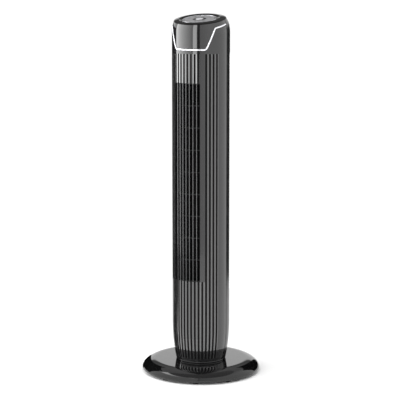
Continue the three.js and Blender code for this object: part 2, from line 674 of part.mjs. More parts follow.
// ---- Blower ----
function blower() {
  const { x, y, radius, bottom, top, blades, shaftR } = ROTOR;
  const axis = new THREE.Group();
  axis.position.set(x, y, 0);
  fan.add(axis);

  const blade = new THREE.Shape();
  blade.absarc(0, 0, 9, rad(-38), rad(38), false);
  blade.absarc(-0.4, 0, 8.2, rad(34), rad(-34), true);
  const along = { depth: top - bottom - 4, bevelEnabled: false, curveSegments: 2 };
  const bladeBody = new THREE.ExtrudeGeometry(blade, along);
  bladeBody.rotateZ(rad(60)).translate(radius - 10.5, -3.5, bottom + 2);
  const turn = rad(360 / blades);
  const around = Array.from({ length: blades }, (_, k) => bladeBody.clone().rotateZ(turn * k));
  const endDisc = ring(shaftR + 0.2, radius, bottom, bottom + 4, 24);
  const discs = [endDisc, endDisc.clone().translate(0, 0, top - bottom - 4)];
  add("impeller", join(...discs, ...around), "matte", axis);
  add("impeller_shaft", rod(shaftR, SHAFT.bottom, SHAFT.top, 12), "steel", axis);

  const shaftHole = shaftR + 0.4;
  const motor = [
    [0, MOTOR.bottom], [MOTOR.radius - 5, MOTOR.bottom], [MOTOR.radius, MOTOR.bottom + 6],
    [MOTOR.radius, MOTOR.top - 6], [MOTOR.radius - 5, MOTOR.top], [MOTOR.hub, MOTOR.top],
    [MOTOR.hub, MOTOR.top + 4], [shaftHole, MOTOR.top + 4], [shaftHole, SHAFT.bottom - 1],
    [0, SHAFT.bottom - 1],
  ];
  add("blower_motor", turned(motor, 24), "steel", axis);
  add("upper_bearing", ring(shaftR + GAP, BEARING.radius, BEARING.bottom, BEARING.top, 16), "steel", axis);

  // Plates across the tower close the ends of the air path, and carry the motor below and the bearing above.
  const offAxis = (tool) => tool.translate(x, y, 0);
  const motorHole = offAxis(rod(shaftR + 8, PLATE.motor[0] - 5, PLATE.motor[1] + 5, 16));
  add("motor_plate", cut(rod(PLATE.radius, ...PLATE.motor, 32), motorHole), "matte");
  const cup = offAxis(rod(BEARING.carrierR, PLATE.bearing[1] - 1, SHAFT.top, 20));
  const carrier = join(rod(PLATE.radius, ...PLATE.bearing, 32), cup);
  const seat = offAxis(rod(BEARING.radius + GAP, BEARING.bottom - GAP, SHAFT.top + 2, 16));
  const shaftClearance = offAxis(rod(shaftR + 2, PLATE.bearing[0] - 5, BEARING.bottom + 2, 12));
  add("bearing_plate", cut(carrier, seat, shaftClearance), "matte");

  // Two upright walls lead the air from the impeller to the window.
  const scroll = steps(60, 150, 6).map((a) => {
    const p = polar(radius + DUCT.clearance + (150 - a) * 0.07, a, 0);
    return [x + p.x, y + p.y];
  });
  const besideWindow = polar(TONGUE[0][0], 27, 0);
  scroll.unshift([besideWindow.x, besideWindow.y]);
  add("duct_scroll", strip(scroll, DUCT.wall, DUCT.bottom, DUCT.top), "matte");
  const tongue = TONGUE.map(([r, angle]) => polar(r, angle, 0)).map((p) => [p.x, p.y]);
  add("duct_tongue", strip(tongue, DUCT.wall, DUCT.bottom, DUCT.top), "matte");

  add("run_capacitor", closed(block(...CAPACITOR.size).translate(...CAPACITOR.at)), "rear");
  add("power_board", closed(block(...POWER_BOARD.size).translate(...POWER_BOARD.at)), "board");
}

// ---- Assembly ----
turntable(base());
swivelDrive();
frontShell();
outletGrid();
head();
rearHousing();
inletGrille();
carryHandle();
controls();
blower();

export default fan;
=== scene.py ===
"""The looks of the tower fan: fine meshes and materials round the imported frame. Lengths are written in
millimetres and turned into metres where a mesh is made. Angles go round the tower from the front (-Y) towards
+X, in degrees."""
import math

import bpy
from mathutils import Matrix, Vector


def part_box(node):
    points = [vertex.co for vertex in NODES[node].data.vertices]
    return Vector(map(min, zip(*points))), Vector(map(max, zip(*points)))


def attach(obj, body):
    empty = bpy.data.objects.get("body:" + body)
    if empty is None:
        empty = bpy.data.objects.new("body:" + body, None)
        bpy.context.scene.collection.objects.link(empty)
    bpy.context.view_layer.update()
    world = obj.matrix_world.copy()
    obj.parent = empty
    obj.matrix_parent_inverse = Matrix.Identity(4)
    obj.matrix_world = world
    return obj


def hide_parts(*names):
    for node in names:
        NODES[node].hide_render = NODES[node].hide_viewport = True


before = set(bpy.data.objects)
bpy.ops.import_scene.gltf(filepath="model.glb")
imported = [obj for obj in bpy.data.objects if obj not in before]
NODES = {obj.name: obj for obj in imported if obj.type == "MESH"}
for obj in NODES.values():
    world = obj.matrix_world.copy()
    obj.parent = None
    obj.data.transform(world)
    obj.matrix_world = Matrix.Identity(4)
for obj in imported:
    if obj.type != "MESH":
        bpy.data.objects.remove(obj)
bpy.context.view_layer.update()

MM = 0.001


def low(node):
    """Lowest corner of a CAD node, in millimetres."""
    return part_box(node)[0] / MM


def high(node):
    """Highest corner of a CAD node, in millimetres."""
    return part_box(node)[1] / MM


def centre(node):
    return (low(node) + high(node)) / 2


# ---- Sizes, as in the CAD model where the frame does not give them ----
BODY_R = 81.5
TOWER_Z = low("bottom_cap").z
SHELL_Z = low("front_shell").z
TAPER_TOP = 145
TAPER_DEPTH = BODY_R - high("bottom_cap").x
DOME_Z = 968
DOME_RISE = 50.5
DOME_SHOULDER = 30
TOP_Z = 1003.5
TOP_SLOPE = 10
SPLIT = 84
RIB_PITCH = 7.5
GROOVE_COUNT = 16
GROOVE_DEPTH = 2.6
GROOVE_BOTTOM = 48
GROOVE_TOP = 911
SHORT_GROOVE = 26.25
FRONT_WALL = 4.5
REAR_WALL = 3
HEAD_WALL = 2.6
WINDOW = {"left": -36, "right": 21.6, "bottom": 274, "top": 830.5, "bars": 8}
TRIM = {"z": 922.5, "corner": 34, "knee": 52.5, "knee_z": 981, "end_z": 990.5, "half": 2.1, "groove": 0.9}
REAR_WINDOW = {"from": 100, "to": 260, "bottom": 231, "top": 913, "pitch": 8}
HANDLE = {"from": 156, "to": 204, "bottom": 929, "top": 961}
BASE_R = high("base_cover").x
BASE_TOP_Z = high("base_cover").z
CONTROLS_Y = -10
CONTROLS_Z = 1.3
CREST = {"outer": 59.6, "inner": 56.3, "height": 4.7}
PANEL_R = 46
BEZEL_R = 48
DISPLAY_R = 18
POWER_R = 10.8
KEY_INNER = 21.9
KEY_OUTER = 41.6
KEY_HALF_ANGLE = 37.2


# ---- Mesh helpers ----
def polar(r, angle, z):
    a = math.radians(angle)
    return Vector((r * math.sin(a), -r * math.cos(a), z))


def steps(start, stop, count):
    return [start + (stop - start) * k / count for k in range(count + 1)]


def mesh_object(name, verts, faces, smooth_angle=35):
    """A mesh object from millimetre points. Unused points are dropped; edges past the angle stay sharp."""
    used = sorted({v for face in faces for v in face})
    place = {old: new for new, old in enumerate(used)}
    mesh = bpy.data.meshes.new(name)
    mesh.from_pydata([Vector(verts[v]) * MM for v in used], [], [[place[v] for v in face] for face in faces])
    mesh.update()
    mesh.polygons.foreach_set("use_smooth", [True] * len(mesh.polygons))
    mesh.set_sharp_from_angle(angle=math.radians(smooth_angle))
    obj = bpy.data.objects.new(name, mesh)
    bpy.context.scene.collection.objects.link(obj)
    return obj


def piece(obj, body, material, replaces=()):
    """Gives a finished object its material and its body, and hides the CAD nodes that it stands for."""
    obj.data.materials.clear()
    obj.data.materials.append(material)
    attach(obj, body)
    if replaces:
        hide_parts(*replaces)
    return obj


def bevel(obj, width, segments=2, angle=40):
    made = obj.modifiers.new("edge", "BEVEL")
    made.width = width * MM
    made.segments = segments
    made.limit_method = "ANGLE"
    made.angle_limit = math.radians(angle)
    made.harden_normals = False
    return obj


def cut_out(target, cutter):
    """Takes the cutter's body out of the target's mesh for good, and removes the cutter."""
    cut = target.modifiers.new("cut", "BOOLEAN")
    cut.operation = "DIFFERENCE"
    cut.object = cutter
    bpy.context.view_layer.update()
    done = bpy.data.meshes.new_from_object(target.evaluated_get(bpy.context.evaluated_depsgraph_get()))
    target.modifiers.clear()
    target.data = done
    bpy.data.objects.remove(cutter)


def upright(matrix, degrees):
    """The matrix, with a turn about X that lays a shape made along +Z on its side."""
    return matrix @ Matrix.Rotation(math.radians(degrees), 4, "X")


def on_circle(r, degrees):
    """A point (x, y) of the control disc, at an angle from +X."""
    return r * math.cos(math.radians(degrees)), r * math.sin(math.radians(degrees))


def wall(columns, rows, is_wall=None):
    """Points and faces of a curved wall made of cells. A row gives, for an angle, (outer r, outer z, inner r,
    inner z); is_wall(i, j) says whether the cell after column i and row j is there."""
    is_wall = is_wall or (lambda i, j: True)
    verts = []
    for angle in columns:
        for row in rows:
            outer_r, outer_z, inner_r, inner_z = row(angle)
            verts += [polar(outer_r, angle, outer_z), polar(inner_r, angle, inner_z)]
    count = len(rows)
    wide, tall = len(columns) - 1, count - 1

    def filled(i, j):
        return 0 <= i < wide and 0 <= j < tall and is_wall(i, j)

    def corner(i, j):
        outer = 2 * (i * count + j)
        return outer, outer + 1

    faces = []
    for i in range(wide):
        for j in range(tall):
            if not filled(i, j):
                continue
            (a, in_a), (b, in_b) = corner(i, j), corner(i + 1, j)
            (c, in_c), (d, in_d) = corner(i + 1, j + 1), corner(i, j + 1)
            faces += [(a, b, c, d), (in_a, in_d, in_c, in_b)]
            if not filled(i, j - 1):
                faces.append((a, in_a, in_b, b))
            if not filled(i, j + 1):
                faces.append((d, c, in_c, in_d))
            if not filled(i - 1, j):
                faces.append((a, d, in_d, in_a))
            if not filled(i + 1, j):
                faces.append((b, in_b, in_c, c))
    return verts, faces


def turned(profile, segments=96):
    """Points and faces of a round body about Z. The profile of (r, z) points closes on itself, or starts and
    ends on the axis, and runs upwards on its outside."""
    on_axis = profile[0][0] == 0
    ring_profile = profile[1:-1] if on_axis else profile
    count = len(ring_profile)
    verts = [polar(r, 360 * k / segments, z) for k in range(segments) for r, z in ring_profile]
    faces = []
    for k in range(segments):
        here, there = k * count, (k + 1) % segments * count
        for j in range(count if not on_axis else count - 1):
            up = (j + 1) % count
            faces.append((here + j, there + j, there + up, here + up))
    if on_axis:
        verts += [Vector((0, 0, profile[0][1])), Vector((0, 0, profile[-1][1]))]
        bottom, top = len(verts) - 2, len(verts) - 1
        for k in range(segments):
            here, there = k * count, (k + 1) % segments * count
            faces.append((bottom, there, here))
            faces.append((top, here + count - 1, there + count - 1))
    return verts, faces


def prism(outline, bottom, top):
    """Points and faces of an upright prism over an anticlockwise outline of (x, y) points."""
    count = len(outline)
    verts = [Vector((x, y, z)) for z in (bottom, top) for x, y in outline]
    faces = [tuple(reversed(range(count))), tuple(range(count, 2 * count))]
    faces += [(k, (k + 1) % count, (k + 1) % count + count, k + count) for k in range(count)]
    return verts, faces


def moved(shape, matrix):
    verts, faces = shape
    return [matrix @ Vector(v) for v in verts], faces


def joined(*shapes):
    verts, faces = [], []
    for more_verts, more_faces in shapes:
        start = len(verts)
        verts += more_verts
        faces += [tuple(v + start for v in face) for face in more_faces]
    return verts, faces


def rounded(corners, radius, segments=4):
    """A closed profile with each (x, y) corner rounded by up to the radius."""
    points = []
    count = len(corners)
    for k, corner in enumerate(corners):
        here = Vector(corner)
        before = Vector(corners[k - 1]) - here
        after = Vector(corners[(k + 1) % count]) - here
        reach = min(radius, before.length * 0.45, after.length * 0.45)
        start, end = here + before.normalized() * reach, here + after.normalized() * reach
        for t in steps(0, 1, segments):
            p = start * (1 - t) ** 2 + here * (2 * t * (1 - t)) + end * t**2
            points.append((p.x, p.y))
    return points


# ---- Outer form of the tower, the same as the CAD model's ----
def tower_radius(z):
    if z > DOME_Z:
        up = min((z - DOME_Z) / DOME_RISE, 1)
        return BODY_R - DOME_SHOULDER * (1 - math.sqrt(1 - up * up))
    down = max(0, (TAPER_TOP - z) / (TAPER_TOP - TOWER_Z))
    return BODY_R - TAPER_DEPTH * down * down


def tower_normal(z):
    """(radial, z) parts of the outward normal at height z."""
    if z <= DOME_Z:
        return 1, 0
    lean = tower_radius(z + 0.01) - tower_radius(z - 0.01)
    length = math.hypot(0.02, lean)
    return 0.02 / length, -lean / length


def tower_row(thickness, height, sink=None):
    """A wall row on the tower's outer form. height and sink are numbers or functions of the angle."""
    def row(angle):
        z = height(angle) if callable(height) else height
        r = tower_radius(z)
        out, up = tower_normal(z)
        depth = (sink(angle) if callable(sink) else sink) or 0
        return r - depth * out, z - depth * up, r - thickness * out, z - thickness * up
    return row


def dome_edge(angle, drop=0):
    """Height where the dome meets the sloping top, less the drop."""
    slope = math.tan(math.radians(TOP_SLOPE)) * -math.cos(math.radians(angle))
    z = TOP_Z
    for _ in range(30):
        z = (z + TOP_Z - drop + slope * tower_radius(z)) / 2
    return z


def ramp(x, width):
    if x <= -width:
        return 0
    return x if x >= width else (x + width) ** 2 / (4 * width)


def trim_height(angle):
    leg = (TRIM["knee_z"] - TRIM["z"]) / (TRIM["knee"] - TRIM["corner"])
    arm = (TRIM["end_z"] - TRIM["knee_z"]) / (SPLIT - TRIM["knee"])
    a = abs(angle)
    return TRIM["z"] + leg * ramp(a - TRIM["corner"], 4) + (arm - leg) * ramp(a - TRIM["knee"], 2.5)


def beside_trim(distance):
    """Height of a line beside the trim's centre line, the distance above it."""
    mm_per_degree = math.radians(BODY_R)

    def height(angle):
        slope = (trim_height(angle + 0.5) - trim_height(angle - 0.5)) / mm_per_degree
        return trim_height(angle) + distance * math.hypot(1, slope)
    return height


def between(start, stop, part):
    return lambda angle: start(angle) + (stop(angle) - start(angle)) * part


# ---- Materials ----
def linear(value):
    return (value, value, value * 1.04, 1)


def new_material(name):
    material = bpy.data.materials.new(name)
    material.use_nodes = True
    tree = material.node_tree
    shader = tree.nodes["Principled BSDF"]
    place = tree.nodes.new("ShaderNodeTexCoord")
    return material, tree, shader, place


def noise(tree, vector, scale, detail=3.0, rough=0.55):
    node = tree.nodes.new("ShaderNodeTexNoise")
    node.inputs["Scale"].default_value = scale
    node.inputs["Detail"].default_value = detail
    node.inputs["Roughness"].default_value = rough
    tree.links.new(vector, node.inputs["Vector"])
    return node.outputs["Fac"]


def stretched(tree, vector, scale):
    node = tree.nodes.new("ShaderNodeMapping")
    node.inputs["Scale"].default_value = scale
    tree.links.new(vector, node.inputs["Vector"])
    return node.outputs["Vector"]


def ranged(tree, value, low_out, high_out, low_in=0.3, high_in=0.7):
    node = tree.nodes.new("ShaderNodeMapRange")
    node.inputs["From Min"].default_value = low_in
    node.inputs["From Max"].default_value = high_in
    node.inputs["To Min"].default_value = low_out
    node.inputs["To Max"].default_value = high_out
    tree.links.new(value, node.inputs["Value"])
    return node.outputs["Result"]


def blend_colour(tree, value, dark, light):
    node = tree.nodes.new("ShaderNodeMix")
    node.data_type = "RGBA"
    tree.links.new(value, node.inputs["Factor"])
    node.inputs["A"].default_value = dark
    node.inputs["B"].default_value = light
    return node.outputs["Result"]


def bump(tree, shader, height, strength, distance):
    node = tree.nodes.new("ShaderNodeBump")
    node.inputs["Strength"].default_value = strength
    node.inputs["Distance"].default_value = distance
    tree.links.new(height, node.inputs["Height"])
    tree.links.new(node.outputs["Normal"], shader.inputs["Normal"])


def plastic(name, shade, roughness, grain, grain_scale=900.0, coat=0.0, spread=0.25, specular=0.5,
            coat_ior=1.5):
    """Moulded plastic: slightly uneven colour and polish, and a fine surface grain."""
    material, tree, shader, place = new_material(name)
    where = place.outputs["Object"]
    mottle = noise(tree, where, 14.0)
    colour = blend_colour(tree, mottle, linear(shade * (1 - spread)), linear(shade * (1 + spread)))
    tree.links.new(colour, shader.inputs["Base Color"])
    polish = noise(tree, where, 55.0, 5.0, 0.6)
    tree.links.new(ranged(tree, polish, roughness * 0.75, roughness * 1.35), shader.inputs["Roughness"])
    shader.inputs["IOR"].default_value = 1.5
    shader.inputs["Coat Weight"].default_value = coat
    shader.inputs["Coat Roughness"].default_value = 0.03
    shader.inputs["Coat IOR"].default_value = coat_ior
    shader.inputs["Specular IOR Level"].default_value = specular
    bump(tree, shader, noise(tree, where, grain_scale, 2.0), grain, 0.0001)
    return material


def metal(name, shade, roughness, scale=(1, 1, 60), grain=0.05, metallic=1.0):
    """Metal or metallised finish with fine lines across the scaled axis."""
    material, tree, shader, place = new_material(name)
    lines = noise(tree, stretched(tree, place.outputs["Object"], scale), 60.0, 4.0)
    colour = blend_colour(tree, lines, linear(shade * 0.92), linear(shade * 1.04))
    tree.links.new(colour, shader.inputs["Base Color"])
    shader.inputs["Metallic"].default_value = metallic
    tree.links.new(ranged(tree, lines, roughness * 0.7, roughness * 1.4), shader.inputs["Roughness"])
    bump(tree, shader, lines, grain, 0.0001)
    return material


def turned_silver(name, dark, light):
    """Satin silver of the control disc, with circular turning lines about its own centre."""
    material, tree, shader, place = new_material(name)
    local = tree.nodes.new("ShaderNodeMapping")
    local.vector_type = "POINT"
    inverse = TOP_FRAME.inverted()
    local.inputs["Rotation"].default_value = inverse.to_euler()
    local.inputs["Location"].default_value = inverse.to_translation() * MM
    tree.links.new(place.outputs["Object"], local.inputs["Vector"])
    rings = tree.nodes.new("ShaderNodeTexWave")
    rings.wave_type = "RINGS"
    rings.rings_direction = "Z"
    rings.inputs["Scale"].default_value = 420.0
    rings.inputs["Distortion"].default_value = 1.5
    rings.inputs["Detail"].default_value = 2.0
    tree.links.new(local.outputs["Vector"], rings.inputs["Vector"])
    mottle = noise(tree, place.outputs["Object"], 40.0)
    tree.links.new(blend_colour(tree, mottle, linear(dark), linear(light)), shader.inputs["Base Color"])
    shader.inputs["Metallic"].default_value = 0.55
    tree.links.new(ranged(tree, rings.outputs["Fac"], 0.32, 0.44, 0.0, 1.0), shader.inputs["Roughness"])
    bump(tree, shader, rings.outputs["Fac"], 0.06, 0.0001)
    return material


def circuit_board():
    """Green solder mask with lighter tracks."""
    material, tree, shader, place = new_material("circuit_board")
    bricks = tree.nodes.new("ShaderNodeTexBrick")
    bricks.inputs["Scale"].default_value = 90.0
    bricks.inputs["Color1"].default_value = (0.012, 0.07, 0.025, 1)
    bricks.inputs["Color2"].default_value = (0.016, 0.09, 0.03, 1)
    bricks.inputs["Mortar"].default_value = (0.05, 0.2, 0.06, 1)
    tree.links.new(place.outputs["Object"], bricks.inputs["Vector"])
    tree.links.new(bricks.outputs["Color"], shader.inputs["Base Color"])
    polish = noise(tree, place.outputs["Object"], 80.0)
    tree.links.new(ranged(tree, polish, 0.3, 0.5), shader.inputs["Roughness"])
    return material


# The frame of the control disc: on the sloping top, and set forward to the cut dome's centre.
SLOPE = Matrix.Translation((0, 0, TOP_Z)) @ Matrix.Rotation(math.radians(TOP_SLOPE), 4, "X")
TOP_FRAME = SLOPE @ Matrix.Translation((0, CONTROLS_Y, CONTROLS_Z))

GLOSS = plastic("gloss_black_shell", 0.011, 0.07, 0.02, grain_scale=260.0, coat=0.9)
BASE_GLOSS = plastic("gloss_black_base", 0.003, 0.06, 0.015, grain_scale=220.0, coat=0.2)
RING_BLACK = plastic("gloss_black_ring", 0.002, 0.08, 0.02, grain_scale=500.0, specular=0.12)
# Painted highlight: the ribs are the shell's black with a stronger reflection, so that they look brighter
# than the plain panels.
RIB_PAINTED_HIGHLIGHT = plastic("ribs_painted_highlight", 0.011, 0.07, 0.02, grain_scale=260.0, coat=0.9, specular=1.0,
                    coat_ior=1.8)
REAR = plastic("semi_gloss_black", 0.013, 0.2, 0.05, grain_scale=700.0)
MATTE = plastic("textured_black", 0.008, 0.5, 0.35, grain_scale=1800.0, specular=0.3)
GRID = plastic("satin_black_grid", 0.03, 0.2, 0.05, grain_scale=900.0, coat=1.0)
NYLON = plastic("natural_nylon", 0.6, 0.42, 0.1, spread=0.05)
RUBBER = plastic("black_rubber", 0.02, 0.85, 0.5, grain_scale=1200.0)
PRINT = plastic("printed_icons", 0.035, 0.4, 0.05, spread=0.1)
# Painted shade: the groove floors get a darker, duller black than the shell, in place of the shade inside the
# grooves.
GROOVE_PAINTED_SHADE = plastic("groove_painted_shade", 0.004, 0.6, 0.2, grain_scale=1500.0, specular=0.15)
LENS = plastic("smoked_lens", 0.004, 0.15, 0.0, specular=0.06)
# Painted shade: the blower and duct parts inside the tower get a near-black that stands in for the shade they
# sit in.
INSIDE_PAINTED_SHADE = plastic("painted_shade_black", 0.003, 0.7, 0.3, grain_scale=1200.0, specular=0.1)
LAMP = plastic("indicator_lens", 0.32, 0.25, 0.02, spread=0.15)
CHROME = metal("bright_chrome", 0.94, 0.05, (1, 1, 8), 0.01)
TRIM_CHROME = metal("bright_trim", 0.96, 0.16, (1, 1, 8), 0.01, metallic=0.55)
STEEL = metal("zinc_plated_steel", 0.5, 0.34)
SILVER = turned_silver("turned_silver", 0.29, 0.36)
PANEL_SILVER = turned_silver("panel_silver", 0.18, 0.24)
KEY_SILVER = turned_silver("bright_silver", 0.6, 0.7)
BOARD = circuit_board()


# ---- Camera and studio ----
CAMERA_AZIMUTH = 23.49
CAMERA_ELEVATION = 9.25
CAMERA_DISTANCE = 4300
CAMERA_HEIGHT_AT_AXIS = 508
CAMERA_LENS = 136.8
AIM = polar(-2.6, 90 + CAMERA_AZIMUTH, 493.7)
WORLD_LEVEL = 1.15
DARK_EDGE = (0.29, 0.32)  # heights of direction, as sines, over which the zone behind the fan darkens
DARK_SIDES = (0.45, 0.65)  # how far to the sides it reaches, as sines
DARK_LEVELS = (0.16, 0.75)  # its radiance at the two heights of DARK_RISE
DARK_RISE = (0.36, 0.92)


def toward_camera(turn, distance, z):
    """A point round the fan, at an angle from the camera's side; positive is to the camera's right."""
    return polar(distance, CAMERA_AZIMUTH + turn, z)


def look_from(obj, position, target):
    obj.location = Vector(position) * MM
    obj.rotation_euler = (Vector(target) - Vector(position)).to_track_quat("-Z", "Y").to_euler()
    bpy.context.scene.collection.objects.link(obj)
    return obj


def camera():
    data = bpy.data.cameras.new("camera")
    data.sensor_width = 36
    data.lens = CAMERA_LENS
    data.clip_end = 200
    e = math.radians(CAMERA_ELEVATION)
    height = CAMERA_HEIGHT_AT_AXIS + CAMERA_DISTANCE * math.sin(e)
    spot = toward_camera(0, CAMERA_DISTANCE * math.cos(e), height)
    bpy.context.scene.camera = look_from(bpy.data.objects.new("camera", data), spot, AIM)


def screen(name, start, stop, lower, upper, bright_start=0.0, bright_stop=0.0, lights=True):
    """A curved screen between a lower and an upper edge, each (distance, height). The camera doesn't see it.
    It shows in reflections, and it lights the scene unless lights is off. Its radiance runs evenly from one
    end to the other; a dark one is a flag."""
    angles = steps(start, stop, max(2, round((stop - start) / 3)))
    verts = [toward_camera(angle, *edge) for angle in angles for edge in (lower, upper)]
    faces = [(2 * k, 2 * k + 1, 2 * k + 3, 2 * k + 2) for k in range(len(angles) - 1)]
    panel = mesh_object(name, verts, faces)
    uv = panel.data.uv_layers.new(name="across")
    for loop in panel.data.loops:
        uv.data[loop.index].uv = ((loop.vertex_index // 2) / (len(angles) - 1), loop.vertex_index % 2)
    material = bpy.data.materials.new(name + "_cloth")
    material.use_nodes = True
    tree = material.node_tree
    tree.nodes.remove(tree.nodes["Principled BSDF"])
    glow = tree.nodes.new("ShaderNodeEmission")
    place = tree.nodes.new("ShaderNodeTexCoord")
    across = tree.nodes.new("ShaderNodeSeparateXYZ")
    tree.links.new(place.outputs["UV"], across.inputs["Vector"])
    radiance = ranged(tree, across.outputs["X"], bright_start, bright_stop, 0, 1)
    tree.links.new(radiance, glow.inputs["Strength"])
    tree.links.new(glow.outputs["Emission"], tree.nodes["Material Output"].inputs["Surface"])
    panel.data.materials.append(material)
    panel.visible_camera = False
    panel.visible_diffuse = lights
    panel.visible_shadow = False
    panel.visible_transmission = False


def direction_world():
    """Even light from all round and from above. Behind the fan there is a darker zone, which starts above
    DARK_EDGE and comes back to full light towards the ceiling."""
    world = bpy.data.worlds.new("studio")
    world.use_nodes = True
    tree = world.node_tree
    where = tree.nodes.new("ShaderNodeTexCoord").outputs["Generated"]
    split = tree.nodes.new("ShaderNodeSeparateXYZ")
    tree.links.new(where, split.inputs["Vector"])
    up = split.outputs["Z"]

    def along(direction):
        node = tree.nodes.new("ShaderNodeVectorMath")
        node.operation = "DOT_PRODUCT"
        node.inputs[1].default_value = direction
        tree.links.new(where, node.inputs[0])
        return node.outputs["Value"]

    def joined_value(operation, first, second=None):
        node = tree.nodes.new("ShaderNodeMath")
        node.operation = operation
        tree.links.new(first, node.inputs[0])
        if second:
            tree.links.new(second, node.inputs[1])
        return node.outputs["Value"]

    above = ranged(tree, up, 0, 1, *DARK_EDGE)
    behind = ranged(tree, along(toward_camera(180, 1, 0)), 0, 1, 0.0, 0.2)
    sideways = joined_value("ABSOLUTE", along(toward_camera(90, 1, 0)))
    central = ranged(tree, sideways, 1, 0, *DARK_SIDES)
    zone = joined_value("MULTIPLY", joined_value("MULTIPLY", above, behind), central)
    dim = ranged(tree, up, *DARK_LEVELS, *DARK_RISE)
    mix = tree.nodes.new("ShaderNodeMix")
    mix.inputs["A"].default_value = WORLD_LEVEL
    tree.links.new(zone, mix.inputs["Factor"])
    tree.links.new(dim, mix.inputs["B"])
    tree.links.new(mix.outputs["Result"], tree.nodes["Background"].inputs["Strength"])
    # White overhead, and one hundredth darker from the horizon down.
    tint = ranged(tree, up, 0.99, 1.0, 0, 1)
    tree.links.new(tint, tree.nodes["Background"].inputs["Color"])
    bpy.context.scene.world = world


def studio():
    floor_r, floor_thickness = 60000, 20
    outline = [polar(floor_r, 6 * k, 0).to_2d() for k in range(60)]
    floor = mesh_object("studio_floor", *prism(outline, -floor_thickness, 0))
    material, tree, shader, place = new_material("pale_floor")
    paint = noise(tree, place.outputs["Object"], 3.0)
    pale = blend_colour(tree, paint, (0.80, 0.80, 0.80, 1), (0.83, 0.83, 0.83, 1))
    tree.links.new(pale, shader.inputs["Base Color"])
    shader.inputs["Roughness"].default_value = 0.9
    shader.inputs["Specular IOR Level"].default_value = 0.1
    floor.data.materials.append(material)
    direction_world()

    # A wide soft sun evens out the floor. It stays out of reflections.
    data = bpy.data.lights.new("overhead", "SUN")
    data.energy = 1.05
    data.angle = math.radians(70)
    sun = look_from(bpy.data.objects.new("overhead", data), (0, 0, 3000), (0, 0, 0))
    sun.visible_glossy = False

    far = (1500, 60), (1500, 2100)
    side = (1250, 2), (1250, 1100)
    screen("key_screen", -110, -36, *far, 5.0, 1.3)
    screen("strip_screen", -31, -16, *far, 4.0, 4.0)
    screen("gap_flag", -14, -4.2, *far, lights=False)
    screen("front_screen", -4.2, 30, *far, 0.85, 1.1, lights=False)
    # The sweep keeps the screens out of the base's rim on the left; the card darkens the rim's front.
    screen("low_sweep", -92, -4.2, (330, 2), (330, 260), 1.2, 1.2, lights=False)
    screen("ceiling_card", -110, 150, far[1], (20, 2800), 0.4, 0.4, lights=False)
    screen("low_flag", -128, -92, (185, 2), (330, 320), lights=False)
    screen("left_flag", -158, -111, *side, lights=False)
    screen("right_flag", 119, 158, *side, lights=False)
    bpy.context.scene.view_settings.view_transform = "Standard"


# ---- Front of the tower ----
GROOVES = [(k - (GROOVE_COUNT - 1) / 2) * RIB_PITCH for k in range(GROOVE_COUNT)]
# Half of a groove's section, from the lip to the floor: (degrees from its centre, part of the whole depth).
GROOVE_SECTION = [(2.13, 0), (2.0, 0.02), (1.92, 0.09), (1.87, 0.2), (1.79, 0.9), (1.6, 1)]


def groove_depth(angle, grooves):
    """Depth of the ribbed front's surface at this angle."""
    near = min((abs(angle - c) for c in grooves), default=99)
    if near >= GROOVE_SECTION[0][0]:
        return 0
    for (outer, shallow), (inner, deep) in zip(GROOVE_SECTION, GROOVE_SECTION[1:]):
        if near >= inner:
            part = (outer - near) / (outer - inner)
            return GROOVE_DEPTH * (shallow + (deep - shallow) * part)
    return GROOVE_DEPTH


def spaced(angles, least=0.02):
    kept = []
    for angle in sorted(angles):
        if not kept or angle - kept[-1] > least:
            kept.append(angle)
    return kept


